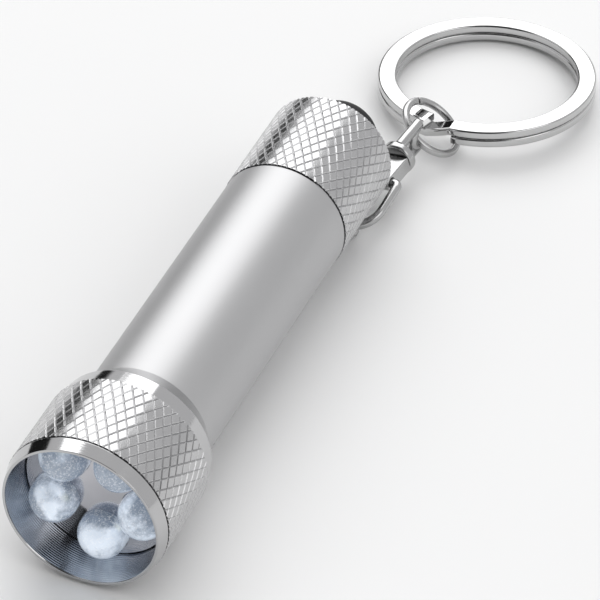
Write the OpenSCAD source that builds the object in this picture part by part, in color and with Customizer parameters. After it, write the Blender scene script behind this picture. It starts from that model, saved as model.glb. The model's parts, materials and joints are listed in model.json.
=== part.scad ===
// Keychain flashlight: a turned aluminium body with five LEDs, a stack of button cells,
// a screw-on tail cap with a push button, and a swivel key ring on a lug of the cap.
// The flashlight's axis is +Y, from the front rim (y = 0) to the tail, and +Z is up.

/* [LEDs] */
// Number of LEDs on the pitch circle
led_count = 5; // [4:1:6]
// Diameter of an LED's clear body
led_d = 5; // [4:0.1:6]
// Height of an LED from the back of its flange to the tip of its dome
led_height = 8.6; // [8:0.1:11]
// Gap between neighbouring LED bodies
led_gap = 0.82; // [0.7:0.01:1.5]
// Depth of the dome tips behind the front rim
led_depth = 1.34; // [1:0.01:3]
// How far an LED's flange stands out from its body
flange_lip = 0.25; // [0.15:0.01:0.3]
// Thickness of an LED's flange
flange_t = 1; // [0.6:0.1:1.5]
// Angle of the first LED, seen from the front
led_angle = -12.3; // [-72:0.1:72]
// Clearance around an LED body in its hole
led_clear = 0.05; // [0.03:0.01:0.08]

/* [Head] */
// Thickness of the head's wall outside the LED plate
head_wall = 0.85; // [0.7:0.01:1.5]
// How far the front rim is set in from the knurl's outer radius
rim_inset = 0.43; // [0.2:0.01:0.5]
// Width of the bright lip at the front rim
lip_w = 0.3; // [0.15:0.01:0.4]
// Length of the polished front band
front_band = 1.5; // [1:0.1:3]
// Width of the fine groove between the front band and the knurl
relief_w = 0.14; // [0.1:0.01:0.3]
// Depth of that groove
relief_depth = 0.3; // [0.1:0.01:0.4]
// Depth of the LED plate's front face behind the front rim
plate_depth = 4.29; // [3.5:0.01:5]
// Thickness of the LED plate
plate_t = 0.6; // [0.4:0.1:1]
// Rim of the LED plate outside the LED holes
plate_rim = 0.27; // [0.2:0.01:0.5]
// Length of the head behind the circuit board's seat, before the chamfer
seat_cover = 1.5; // [1.2:0.1:3]
// Length of the smooth taper behind the knurl
taper_len = 1.95; // [1:0.05:3]
// Radius lost over the taper
taper_drop = 0.43; // [0.1:0.01:0.6]
// Length of the chamfer down to the tube
chamfer_len = 2.33; // [1.5:0.01:4]

/* [Circuit board] */
// Thickness of the circuit board
board_t = 1; // [0.8:0.1:1.6]
// Length of a lead behind the board
lead_tail = 0.4; // [0.2:0.1:0.8]
// Height of the positive contact behind the board
contact_h = 2.5; // [2:0.1:4]
// Length of the resistor
resistor_l = 3.2; // [2:0.1:3.4]

/* [Cells] */
// Number of button cells
cell_count = 4; // [3:1:4]
// Diameter of a cell
cell_d = 11.6; // [11:0.1:14]
// Height of a cell
cell_h = 5.4; // [4:0.1:5.6]
// Thickness of the insulating sleeve
sleeve_t = 0.12; // [0.1:0.01:0.3]
// Clearance of the cells in the sleeve, and of the sleeve in the bore
cell_clear = 0.055; // [0.04:0.005:0.1]

/* [Tube] */
// Thickness of the tube's wall
tube_wall = 0.73; // [0.6:0.01:1.5]
// Length of the plain tube, from the head's chamfer to the tail cap
tube_len = 34.47; // [30:0.01:50]

/* [Tail cap] */
// Length of the tail cap's knurled outside
cap_len = 12.4; // [11:0.1:20]
// How far the cap's knurl stands out from the tube
cap_step = 0.1; // [0:0.01:0.5]
// Gap between the tube's end and the tail cap
joint_gap = 0.15; // [0.05:0.01:0.3]
// Length of the threaded spigot inside the tube
spigot_len = 4.8; // [4:0.1:8]
// Wall of the spigot
spigot_wall = 0.65; // [0.6:0.01:1]
// Running clearance of the thread
thread_clear = 0.05; // [0.03:0.01:0.1]
// Pitch of the thread
thread_pitch = 0.75; // [0.5:0.05:1]
// Depth of the thread
thread_depth = 0.12; // [0.1:0.01:0.15]
// Thickness of the cap's end wall
end_wall = 1.4; // [1:0.1:2]
// Section diameter of the sealing ring
seal_d = 0.4; // [0.35:0.01:0.45]

/* [Push button and switch] */
// Diameter of the push button
button_d = 8.1; // [7:0.1:8.6]
// How far the button stands out past the cap's end
button_out = 5.2; // [3:0.1:6]
// Rounding of the button's outer edge
button_round = 2.5; // [1:0.1:2.8]
// Travel of the button
button_travel = 1.2; // [0.6:0.1:1.5]
// Clearance around the button in the end wall
button_clear = 0.1; // [0.05:0.01:0.2]
// Thickness of the button's retaining flange
button_flange_t = 0.85; // [0.6:0.05:1.2]
// Diameter of the plunger
plunger_d = 2.8; // [2:0.1:3.2]
// Wall of the switch housing
housing_wall = 1.1; // [0.8:0.1:1.2]
// Clearance of the switch's fixed parts in the cap
housing_clear = 0.05; // [0.03:0.01:0.1]
// Thickness of the moving contact
contact_t = 0.4; // [0.3:0.05:0.6]
// Height of the switch spring at rest
switch_spring_h = 4.2; // [3:0.1:5]

/* [Springs] */
// Wire of the battery spring
battery_wire = 0.6; // [0.4:0.05:0.8]
// Turns of the battery spring
battery_turns = 5; // [3:1:6]
// Wire of the switch spring
switch_wire = 0.35; // [0.25:0.05:0.4]
// Turns of the switch spring
switch_turns = 5; // [3:1:6]

/* [Key lug and bail] */
// Angle of the lug around the cap, from +X towards +Z
lug_angle = -66.5; // [-90:0.5:-30]
// Distance of the lug's hole from the cap's surface
lug_out = 1; // [0.95:0.01:3]
// Distance of the lug's hole from the cap's end
lug_inset = 2.35; // [2:0.05:5]
// Thickness of the lug
lug_t = 1; // [0.8:0.1:1.4]
// Radius of the lug's rounded end
lug_r = 1.3; // [1.25:0.01:1.8]
// Radius of the lug's hole
lug_hole_r = 0.9; // [0.85:0.01:0.95]
// Depth of the lug's foot in the cap
lug_root = 0.7; // [0.4:0.05:0.9]
// Diameter of the bail's wire
bail_wire = 1; // [0.8:0.05:1.1]
// Distance between the bail's legs, wire centre to wire centre
bail_span = 5.2; // [4.6:0.1:7]
// Length of the bail, from its bend in the lug to its bent-in ends
bail_len = 6.5; // [6:0.1:10]
// Depth of the bail's bent-in ends in the swivel's block
bail_hold = 1.2; // [0.8:0.1:1.5]
// Sideways turn of the bail away from the flashlight's axis
bail_yaw = 6.8; // [0:0.1:10]
// Upward slope of the bail, from the lug to its ends
bail_pitch = 14.6; // [5:0.1:20]
// Roll of the bail about its own length
bail_roll = 14; // [0:0.5:20]

/* [Swivel] */
// Running clearance of the bail's ends and of the swivel's rivet
pivot_clear = 0.04; // [0.02:0.01:0.08]
// Width of the swivel's block
block_w = 3.6; // [3:0.1:4]
// Thickness of the swivel's block
block_t = 1.7; // [1.5:0.1:2]
// Length of the block, from the bail's ends to the swivel's face
block_len = 3.5; // [3:0.1:5]
// Upward slope of the block against the bail
block_pitch = -8.6; // [-20:0.1:0]
// Diameter of the swivel's collar
collar_d = 3.8; // [3.6:0.1:4.6]
// Thickness of the collar
collar_t = 1; // [0.8:0.1:1.5]
// Gap between the block and the collar
swivel_gap = 0.1; // [0.05:0.01:0.3]
// Diameter of the swivel's rivet
rivet_d = 1; // [0.8:0.1:1.2]
// Diameter of the eye's wire
eye_wire = 1.2; // [1:0.05:1.3]
// Distance between the eye's legs, wire centre to wire centre
eye_span = 2.8; // [2.6:0.05:3.2]
// Length of the eye's straight legs
eye_len = 3.77; // [3:0.01:5]

/* [Rings] */
// Mean diameter of the jump ring
jump_d = 6.76; // [6.4:0.01:9]
// Diameter of the jump ring's wire
jump_wire = 0.84; // [0.7:0.02:0.9]
// Tilt of the jump ring's axis from vertical
jump_tilt = 36.4; // [30:0.1:45]
// Direction in which the jump ring's axis leans, from +X towards +Y
jump_lean = 8.9; // [0:0.1:20]
// Opening between the jump ring's ends, in degrees
jump_opening = 4; // [2:1:12]
// Outer diameter of the split ring
ring_d = 23.7; // [18:0.1:32]
// Width of the split ring's flat wire
ring_wire_w = 2; // [1.4:0.1:2.2]
// Thickness of one turn of the split ring
ring_wire_t = 0.96; // [0.6:0.02:1.1]
// Gap between the two turns of the split ring
ring_gap = 0.04; // [0.02:0.01:0.2]
// Direction in which the split ring lies from the jump ring, from +X towards +Y
ring_heading = 79.8; // [70:0.1:90]
// Slope of the split ring away from the jump ring
ring_slope = 5.15; // [0:0.05:8]
// Direction in which the split ring's plane rises, from -Y towards +X
ring_rise_heading = 22.9; // [0:0.1:45]
// Slope of the split ring's plane
ring_rise = 4.55; // [0:0.05:8]

/* [Hidden] */
$fn = 96;
over = 0.5;      // how far a cutting tool passes the surface it cuts
snug = 0.02;     // clearance of parts that sit against each other

// Radii, from the LEDs and the cells outwards
led_r = led_d / 2;
led_pitch_r = (led_d + led_gap) / 2 / sin(180 / led_count);
plate_r = led_pitch_r + led_r + plate_rim;
plate_bore_r = plate_r + snug;
head_r = plate_r + head_wall + 0.03;
rim_r = head_r - rim_inset;
lip_r = rim_r - lip_w;
taper_r = head_r - taper_drop;
sleeve_in_r = cell_d / 2 + cell_clear;
sleeve_r = sleeve_in_r + sleeve_t;
bore_r = sleeve_r + cell_clear;
tube_r = bore_r + tube_wall;
cap_r = tube_r + cap_step;
spigot_r = bore_r - thread_clear;
cavity_r = spigot_r - spigot_wall;
housing_r = cavity_r - housing_clear;
button_r = button_d / 2;

// Stations along the axis
led_y = led_depth + led_r;                    // centre of the domes
flange_back = led_depth + led_height;
flange_front = flange_back - flange_t;
board_front = flange_back + 0.16;
seat_y = board_front + board_t;               // shoulder that the board sits on
taper_end = seat_y + seat_cover;
knurl_end = taper_end - taper_len;
chamfer_end = taper_end + chamfer_len;
joint_y = chamfer_end + tube_len;             // end of the tube
cells_y = seat_y + contact_h;                 // front of the first cell
cells_end = cells_y + cell_count * cell_h;
cap_y = joint_y + joint_gap;
tail_y = cap_y + cap_len;                     // flat end of the tail cap
spigot_y = joint_y - spigot_len;
flange_top = tail_y - end_wall - snug;        // the button's flange, against the end wall
flange_low = flange_top - button_flange_t;
housing_back = flange_low - button_travel - 0.2;
housing_front = spigot_y + 0.5;
housing_floor = housing_front + housing_wall;
rivet_head = 0.4;
spring_foot = housing_floor + rivet_head;
contact_y = spring_foot + switch_spring_h;    // under side of the moving contact

// Key hardware
lug_y = tail_y - lug_inset;
lug_hole_out = cap_r + lug_out;
bail_r = bail_wire / 2;
bail_half = bail_span / 2;
eye_half = eye_span / 2;
eye_r = eye_wire / 2;
eye_start = block_len + swivel_gap + collar_t;   // where the eye's legs leave the collar
jump_r = jump_d / 2;
jump_wire_r = jump_wire / 2;
ring_r = (ring_d - ring_wire_w) / 2;
jump_rest = [0.973, -0.879, -0.85];  // the jump ring's wire, from the centre of the eye's bend
band_ahead = 0.677;                // the split ring's band, ahead of the jump ring's centre

// A rotation as a matrix, so that the chain of key parts can be followed by numbers
function turn_x(a) = [[1, 0, 0], [0, cos(a), -sin(a)], [0, sin(a), cos(a)]];
function turn_y(a) = [[cos(a), 0, sin(a)], [0, 1, 0], [-sin(a), 0, cos(a)]];
function turn_z(a) = [[cos(a), -sin(a), 0], [sin(a), cos(a), 0], [0, 0, 1]];

lug_hole = [lug_hole_out * cos(lug_angle), lug_y, lug_hole_out * sin(lug_angle)];
bail_turn = turn_z(-bail_yaw) * turn_x(bail_pitch) * turn_y(-bail_roll);
block_turn = bail_turn * turn_x(block_pitch);
bail_ends = lug_hole + bail_turn * [0, bail_len, 0];
eye_bend = bail_ends + block_turn * [0, eye_start + eye_len, 0];
jump_turn = turn_z(jump_lean) * turn_y(jump_tilt);
jump_centre = eye_bend + jump_rest + jump_turn * [0, jump_r, 0];
ring_reach = ring_r + band_ahead;
ring_centre = jump_centre + ring_reach * [cos(ring_heading) * cos(ring_slope),
                                          sin(ring_heading) * cos(ring_slope),
                                          -sin(ring_slope)];

// Turned shapes: children or a profile of [radius, y] points about the flashlight's axis
module lathe(profile) {
    rotate([-90, 0, 0]) rotate_extrude() polygon(profile);
}
module rod(r, y0, y1, x = 0, z = 0) {
    translate([x, y0, z]) rotate([-90, 0, 0]) cylinder(h = y1 - y0, r = r);
}
module tube(r_out, r_in, y0, y1) {
    lathe([[r_in, y0], [r_out, y0], [r_out, y1], [r_in, y1]]);
}
module at_led(i) {
    a = led_angle + i * 360 / led_count;
    translate([led_pitch_r * cos(a), 0, led_pitch_r * sin(a)]) rotate([0, -a, 0]) children();
}
module at_bail() {
    translate(lug_hole) rotate([0, 0, -bail_yaw]) rotate([bail_pitch, 0, 0])
        rotate([0, -bail_roll, 0]) children();
}
module at_block() {
    at_bail() translate([0, bail_len, 0]) rotate([block_pitch, 0, 0]) children();
}
// The swivel's frame: the eye stands upright on the block's axis
module at_eye() {
    at_block() rotate([0, bail_roll, 0]) children();
}

// A coil spring along +Y, from r0 at y0 to r1 at y1, as one closed sweep
function coil_point(t, turns, r0, r1, y0, y1) =
    let (a = 360 * turns * t, r = r0 + (r1 - r0) * t)
    [r * cos(a), y0 + (y1 - y0) * t, r * sin(a)];
module coil(wire, turns, r0, r1, y0, y1, steps = 16, sides = 8) {
    rings = turns * steps;
    points = [for (i = [0:rings], j = [0:sides - 1])
        let (t = i / rings, a = 360 * turns * t, b = 360 * j / sides,
             c = coil_point(t, turns, r0, r1, y0, y1))
        c + wire / 2 * (cos(b) * [cos(a), 0, sin(a)] + sin(b) * [0, 1, 0])];
    faces = concat(
        [[for (j = [0:sides - 1]) j]],
        [for (i = [0:rings - 1], j = [0:sides - 1])
            let (k = (j + 1) % sides)
            [i * sides + j, (i + 1) * sides + j, (i + 1) * sides + k, i * sides + k]],
        [[for (j = [sides - 1:-1:0]) rings * sides + j]]);
    polyhedron(points, faces, convexity = 8);
}

// Head and tube, turned as one piece
module body() {
    color("silver") lathe([
        [lip_r, 0], [rim_r, 0], [head_r - 0.05, front_band],
        [head_r - relief_depth, front_band], [head_r - relief_depth, front_band + relief_w],
        [head_r, front_band + relief_w], [head_r, knurl_end], [taper_r, taper_end],
        [tube_r, chamfer_end], [tube_r, joint_y], [bore_r, joint_y],
        [bore_r, seat_y], [plate_bore_r, seat_y], [plate_bore_r, plate_depth]]);
}

module led_plate() {
    color("dimgray") difference() {
        rod(plate_r, plate_depth, plate_depth + plate_t);
        for (i = [0:led_count - 1]) at_led(i)
            rod(led_r + led_clear, plate_depth - over, plate_depth + plate_t + over);
    }
}

module led_holder() {
    front = plate_depth + plate_t;
    back = flange_front - snug;
    color("black") difference() {
        rod(plate_r - led_clear, front, back);
        for (i = [0:led_count - 1]) at_led(i)
            rod(led_r + led_clear, front - over, back + over);
        rod(1.2, front + 1, back + over);
    }
}

// The two legs of one LED; the inner leg carries the anvil with the chip
lead_w = 0.5;
lead_half = 1.27;
anvil_l = 1.5;
anvil_h = 1.1;
module led_lead_pair() {
    tip = led_y + 0.25;
    for (side = [-1, 1]) translate([-lead_w / 2, tip, side * lead_half - lead_w / 2])
        cube([lead_w, seat_y + lead_tail - tip, lead_w]);
    translate([-lead_w / 2, tip - anvil_h, lead_half + lead_w / 2 - anvil_l - lead_w / 2])
        cube([lead_w, anvil_h, anvil_l + lead_w / 2]);
    translate([-lead_w / 2, tip - anvil_h, -lead_half - lead_w / 2])
        cube([lead_w, anvil_h, lead_w * 1.6]);
}

module led(i) {
    color("lightcyan", 0.5) at_led(i) difference() {
        union() {
            translate([0, led_y, 0]) sphere(led_r);
            rod(led_r, led_y, flange_back);
            rod(led_r + flange_lip, flange_front, flange_back);
        }
        led_lead_pair();
    }
}
module led_1() { led(0); }
module led_2() { led(1); }
module led_3() { led(2); }
module led_4() { led(3); }
module led_5() { led(4); }

module led_leads() {
    color("gainsboro") for (i = [0:led_count - 1]) at_led(i) led_lead_pair();
}

module circuit_board() {
    color("darkgreen") difference() {
        rod(plate_r, board_front, seat_y - snug);
        for (i = [0:led_count - 1]) at_led(i) for (side = [-1, 1])
            rod(lead_w * 0.8, board_front - over, seat_y + over, 0, side * lead_half);
        rod(contact_pin_r + snug, board_front - over, seat_y + over);
    }
}

contact_pin_r = 0.8;
module positive_contact() {
    color("goldenrod") {
        rod(contact_pin_r, board_front + 0.1, seat_y);
        rod(1.5, seat_y, cells_y - snug);
    }
}

module resistor() {
    color("black") translate([-resistor_l / 2, seat_y, -3.6])
        cube([resistor_l, 0.6, 1.6]);
}

module insulating_sleeve() {
    color("whitesmoke") tube(sleeve_r, sleeve_in_r, seat_y + 0.8, cells_end + 1);
}

// A button cell: a wide positive can to the front, a narrower negative cap to the back
cell_edge = 0.25;
cell_cap_h = 0.45;
seal_ring_w = 0.35;
module cell(i) {
    y0 = cells_y + i * cell_h;
    y1 = y0 + cell_h - snug / 2;
    r = cell_d / 2;
    cap = r * 0.84;
    color("lightgray") lathe([
        [0, y0], [r - cell_edge, y0], [r, y0 + cell_edge],
        [r, y1 - cell_cap_h], [r - cell_edge, y1 - cell_cap_h + 0.1],
        [cap + seal_ring_w, y1 - cell_cap_h + 0.1], [cap + seal_ring_w, y1 - cell_cap_h - 0.2],
        [cap, y1 - cell_cap_h - 0.2], [cap, y1 - 0.1], [cap - 0.1, y1], [0, y1]]);
}
module cell_1() { cell(0); }
module cell_2() { cell(1); }
module cell_3() { cell(2); }
module cell_4() { if (cell_count > 3) cell(3); else cell_dummy(); }
// With three cells a metal spacer takes the fourth cell's node, behind the stack
module cell_dummy() { color("lightgray") rod(cell_d / 2, cells_end, cells_end + 1); }

module cell_seals() {
    color("dimgray") for (i = [0:cell_count - 1])
        let (y = cells_y + (i + 1) * cell_h - snug / 2 - cell_cap_h, cap = cell_d / 2 * 0.84)
        tube(cap + seal_ring_w, cap, y - 0.2, y + 0.2);
}

module battery_spring() {
    foot = cells_end + battery_wire / 2 + (cell_count > 3 ? snug : 1 + snug);
    color("goldenrod") coil(battery_wire, battery_turns, 3.6, 2.1, foot,
        housing_front - rivet_head - battery_wire / 2 - snug);
}

module tail_cap() {
    ridges = floor((spigot_len - 2) / thread_pitch);
    root_r = spigot_r - thread_depth;
    seal_y = joint_y - 0.75;
    color("silver") difference() {
        lathe(concat(
            [[cavity_r, spigot_y], [root_r, spigot_y]],
            [for (i = [0:ridges - 1]) let (y = spigot_y + 0.3 + i * thread_pitch)
                each [[root_r, y], [spigot_r, y + 0.2 * thread_pitch],
                      [spigot_r, y + 0.4 * thread_pitch], [root_r, y + 0.6 * thread_pitch]]],
            [[root_r, seal_y - 0.45], [spigot_r, seal_y - 0.45], [spigot_r, seal_y - seal_d / 2 - 0.02],
             [spigot_r - seal_d + 0.02, seal_y - seal_d / 2 - 0.02],
             [spigot_r - seal_d + 0.02, seal_y + seal_d / 2 + 0.02],
             [spigot_r, seal_y + seal_d / 2 + 0.02], [spigot_r, cap_y], [cap_r, cap_y],
             [cap_r, tail_y - 0.15], [cap_r - 0.15, tail_y],
             [button_r + button_clear, tail_y], [button_r + button_clear, tail_y - end_wall],
             [cavity_r, tail_y - end_wall]]));
        lug_foot();
    }
}

module sealing_ring() {
    r = spigot_r - seal_d / 2 + 0.02;
    color("black") translate([0, joint_y - 0.75, 0]) rotate([-90, 0, 0])
        rotate_extrude() translate([r, 0]) circle(d = seal_d, $fn = 32);
}

module switch_housing() {
    bore = plunger_d / 2 + pivot_clear;
    color("dimgray") lathe([
        [rivet_d / 2, housing_front], [housing_r, housing_front], [housing_r, housing_back],
        [bore, housing_back], [bore, housing_back - housing_wall],
        [housing_r - housing_wall, housing_back - housing_wall],
        [housing_r - housing_wall, housing_floor], [rivet_d / 2, housing_floor]]);
}

module switch_rivet() {
    color("goldenrod") lathe([
        [0, housing_front - rivet_head], [2.5, housing_front - rivet_head],
        [2.5, housing_front], [rivet_d / 2, housing_front], [rivet_d / 2, housing_floor],
        [1.5, housing_floor], [1.5, spring_foot], [0, spring_foot]]);
}

module fixed_contact() {
    r = housing_r - housing_wall;
    color("goldenrod") tube(r, r - 0.7, housing_floor, contact_y - button_travel - 0.05);
}

module moving_contact() {
    color("goldenrod") tube(housing_r - housing_wall - 0.15, 0.7, contact_y, contact_y + contact_t);
}

module switch_plunger() {
    collar_y = contact_y + contact_t;
    color("white") lathe([
        [0, contact_y - 0.3], [0.7, contact_y - 0.3], [0.7, collar_y], [2.3, collar_y],
        [2.3, collar_y + 0.8], [plunger_d / 2, collar_y + 0.8],
        [plunger_d / 2, flange_low - snug], [0, flange_low - snug]]);
}

module switch_spring() {
    color("silver") coil(switch_wire, switch_turns, 1.15, 1.15,
        spring_foot + switch_wire / 2 + snug, contact_y - switch_wire / 2 - snug);
}

// The rubber push button: a rounded dome on a retaining flange, hollow round its post
module push_button() {
    top = tail_y + button_out;
    flange_r = button_r + 0.75;
    post_r = 1.7;
    wall = 0.9;
    roof = top - 1.6;
    color("black") rotate([-90, 0, 0]) rotate_extrude() difference() {
        union() {
            translate([0, flange_low]) square([flange_r, button_flange_t]);
            translate([0, flange_low]) square([button_r, top - button_round - flange_low]);
            translate([0, flange_low]) square([button_r - button_round, top - flange_low]);
            intersection() {
                translate([button_r - button_round, top - button_round])
                    circle(button_round);
                translate([0, flange_low]) square([button_r, top]);
            }
        }
        translate([post_r, flange_low - over]) square([button_r - wall - post_r, roof - 1.4 - flange_low + over]);
    }
}

// The lug's foot in the cap's wall, shared by the lug and its slot
module at_lug() {
    translate([0, lug_y, 0]) rotate([0, -lug_angle, 0]) children();
}
module lug_foot() {
    at_lug() translate([cap_r - lug_root, -lug_r, -lug_t / 2]) cube([lug_root + 1, 2 * lug_r, lug_t]);
}
module key_lug() {
    color("gainsboro") at_lug() difference() {
        union() {
            translate([cap_r - lug_root, -lug_r, -lug_t / 2])
                cube([lug_root + lug_out, 2 * lug_r, lug_t]);
            translate([lug_hole_out, 0, -lug_t / 2]) cylinder(h = lug_t, r = lug_r);
        }
        translate([lug_hole_out, 0, -lug_t / 2 - over]) cylinder(h = lug_t + 2 * over, r = lug_hole_r);
    }
}

// The bail: round wire, bent through the lug, its two ends bent in and held in the block's bore
bail_bend = bail_r + 0.15;         // radius of the bends at its ends
module bail() {
    stub = bail_half - bail_bend - block_w / 2 + bail_hold;
    color("gainsboro") at_bail() {
        translate([0, bail_half, 0]) rotate([0, 0, 180])
            rotate_extrude(angle = 180) translate([bail_half, 0]) circle(bail_r, $fn = 48);
        for (side = [-1, 1]) {
            rod(bail_r, bail_half, bail_len - bail_bend, side * bail_half);
            translate([side * (bail_half - bail_bend), bail_len - bail_bend, 0])
                rotate([0, 0, 45 - side * 45])
                rotate_extrude(angle = 90) translate([bail_bend, 0]) circle(bail_r, $fn = 48);
            translate([side * (bail_half - bail_bend), bail_len, 0])
                rotate([0, -side * 90, 0]) cylinder(h = stub, r = bail_r);
        }
    }
}

module swivel_block() {
    round_r = block_t / 2;
    color("gainsboro") at_block() difference() {
        union() {
            translate([-block_w / 2, 0, 0]) rotate([0, 90, 0]) cylinder(h = block_w, r = round_r);
            translate([-block_w / 2, 0, -round_r]) cube([block_w, block_len, block_t]);
        }
        translate([-block_w, 0, 0]) rotate([0, 90, 0])
            cylinder(h = 2 * block_w, r = bail_r + pivot_clear);
        rod(rivet_d / 2, block_len - 1.6, block_len + over);
    }
}

// The rivet is fixed in the block and holds the collar by its head
module swivel_rivet() {
    head_y = eye_start + pivot_clear;
    color("silver") at_block() {
        rod(rivet_d / 2, block_len - 1.6, head_y + 0.3);
        rod(eye_half - eye_r - 0.05, head_y, head_y + 0.5);
    }
}

module swivel_eye() {
    color("gainsboro") at_eye() difference() {
        union() {
            rod(collar_d / 2, block_len + swivel_gap, eye_start);
            for (side = [-1, 1])
                rod(eye_r, eye_start - 0.3, eye_start + eye_len, 0, side * eye_half);
            translate([0, eye_start + eye_len, 0]) rotate([0, -90, 0])
                rotate_extrude(angle = 180) translate([eye_half, 0]) circle(eye_r, $fn = 48);
        }
        rod(rivet_d / 2 + pivot_clear, block_len, eye_start + over);
    }
}

jump_gap_angle = 140;     // where the ends of the jump ring meet, seen along its axis
module jump_ring() {
    color("gainsboro") translate(jump_centre) rotate([0, 0, jump_lean]) rotate([0, jump_tilt, 0])
        rotate([0, 0, jump_gap_angle + jump_opening / 2])
        rotate_extrude(angle = 360 - jump_opening) translate([jump_r, 0])
        circle(jump_wire_r, $fn = 48);
}

// Two flat turns of wire, joined by a sloping step
ring_step = 14;            // angle of the step between the turns
ring_end_gap = 1;          // angle left open at each end of the wire
ring_step_angle = 253;     // where the step is, from the plane's +X
module ring_turn(from, sweep, z) {
    rotate([0, 0, from]) rotate_extrude(angle = sweep)
        translate([ring_r - ring_wire_w / 2, z]) square([ring_wire_w, ring_wire_t]);
}
// A thin slice of the step, a little smaller than the wire so that its ends lie inside the turns
slice_in = 0.05;
module ring_slice(a, z) {
    rotate([0, 0, a]) translate([ring_r - ring_wire_w / 2 + slice_in, -0.01, z + slice_in])
        cube([ring_wire_w - 2 * slice_in, 0.02, ring_wire_t - 2 * slice_in]);
}
module split_ring() {
    low = -ring_wire_t - ring_gap / 2;
    rise = ring_wire_t + ring_gap;
    parts = 4;
    lap = 1.2;                 // how far the step runs into each turn, in degrees
    span = ring_step + 2 * lap;
    color("gainsboro") translate(ring_centre) rotate([0, 0, ring_rise_heading])
        rotate([-ring_rise, 0, 0]) rotate([0, 0, ring_step_angle]) {
            ring_turn(ring_end_gap, 360 - ring_step - ring_end_gap, low);
            ring_turn(0, 360 - ring_step - ring_end_gap, low + rise);
            for (i = [0:parts - 1]) hull() {
                ring_slice(lap - span * (1 - i / parts), low + rise * i / parts);
                ring_slice(lap - span * (1 - (i + 1) / parts), low + rise * (i + 1) / parts);
            }
        }
}

body();
led_plate();
led_holder();
led_1();
led_2();
led_3();
led_4();
led_5();
led_leads();
circuit_board();
resistor();
positive_contact();
insulating_sleeve();
cell_1();
cell_2();
cell_3();
cell_4();
cell_seals();
battery_spring();
tail_cap();
sealing_ring();
switch_housing();
switch_rivet();
fixed_contact();
moving_contact();
switch_plunger();
switch_spring();
push_button();
key_lug();
bail();
swivel_block();
swivel_rivet();
swivel_eye();
jump_ring();
split_ring();
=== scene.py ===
"""Keychain flashlight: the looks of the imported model.

The flashlight lies along +Y from its front rim (y = 0) to its tail, with +Z up.
Shapes are worked out in millimetres and scaled to metres when a piece is made.
"""
import json
import math
import bmesh
import bpy
from mathutils import Matrix, Vector


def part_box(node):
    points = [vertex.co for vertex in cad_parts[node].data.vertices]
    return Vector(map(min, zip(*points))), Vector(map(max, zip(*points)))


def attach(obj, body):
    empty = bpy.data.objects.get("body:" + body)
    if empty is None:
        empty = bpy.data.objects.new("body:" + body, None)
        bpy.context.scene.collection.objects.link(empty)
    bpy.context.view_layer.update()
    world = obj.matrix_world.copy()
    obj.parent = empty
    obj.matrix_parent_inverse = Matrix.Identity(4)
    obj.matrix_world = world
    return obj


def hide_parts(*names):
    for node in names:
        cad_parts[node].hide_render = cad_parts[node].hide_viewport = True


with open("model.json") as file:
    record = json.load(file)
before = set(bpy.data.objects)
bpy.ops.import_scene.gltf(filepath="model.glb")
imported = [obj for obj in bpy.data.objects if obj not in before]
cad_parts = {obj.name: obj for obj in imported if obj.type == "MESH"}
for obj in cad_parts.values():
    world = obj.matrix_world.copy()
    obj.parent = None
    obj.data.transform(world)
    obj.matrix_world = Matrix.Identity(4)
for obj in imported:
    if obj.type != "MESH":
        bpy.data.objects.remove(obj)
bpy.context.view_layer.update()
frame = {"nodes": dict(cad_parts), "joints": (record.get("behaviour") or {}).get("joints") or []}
NODES = frame["nodes"]
JOINTS = {j["name"]: j for j in frame["joints"]}
MM = 0.001


def node_box(name):
    """Lowest and highest corner of a CAD node, in millimetres."""
    low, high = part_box(name)
    return Vector(low) / MM, Vector(high) / MM


# ---------------------------------------------------------------- sizes, in mm
HEAD_R = (node_box("body")[1].x - node_box("body")[0].x) / 2
JOINT_Y = node_box("body")[1].y
CAP_R = (node_box("tail_cap")[1].x - node_box("tail_cap")[0].x) / 2
TAIL_Y = node_box("tail_cap")[1].y
SPIGOT_Y = node_box("tail_cap")[0].y
FLOOR_Z = -HEAD_R

RIM_R = HEAD_R - 0.43
LIP_R = RIM_R - 0.30
BAND_END = 1.5
KNURL_FROM = 1.66
KNURL_TO = 10.65
TAPER_END = 12.6
TAPER_R = HEAD_R - 0.43
TUBE_R = CAP_R - 0.1
CHAMFER_END = 14.93
SEAT_Y = 11.1
PLATE_Y = node_box("led_plate")[0].y
PLATE_T = 0.6
PLATE_R = (node_box("led_plate")[1].x - node_box("led_plate")[0].x) / 2
BORE_R = 6.03
SPIGOT_R = BORE_R - 0.05
CAVITY_R = SPIGOT_R - 0.65
CAP_Y = JOINT_Y + 0.15
END_WALL = 1.4

LED_COUNT = 5
LED_R = 2.5
LED_PITCH_R = (2 * LED_R + 0.82) / 2 / math.sin(math.pi / LED_COUNT)
LED_ANGLE = math.radians(-12.3)
LED_DOME_Y = node_box("led_1")[0].y + LED_R
LED_BACK = node_box("led_1")[1].y

BUTTON_R = 4.05
BUTTON_TOP = node_box("push_button")[1].y
BUTTON_LOW = node_box("push_button")[0].y
BUTTON_ROUND = 2.5

KNURL_HELIX = math.radians(30)
HEAD_STARTS = 48
CAP_STARTS = 40

# ---------------------------------------------------------------- the chain of key parts


def joint_place(name):
    return Vector(JOINTS[name]["pos_m"]) / MM


def joint_axis(name):
    return Vector(JOINTS[name]["axis"]).normalized()


def axes(x=None, y=None, z=None):
    """A turn whose two given axes point that way; the third follows."""
    if x is None:
        x = y.cross(z)
    if y is None:
        y = z.cross(x)
    if z is None:
        z = x.cross(y)
    return Matrix((x, y, z)).transposed().to_4x4()


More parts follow.
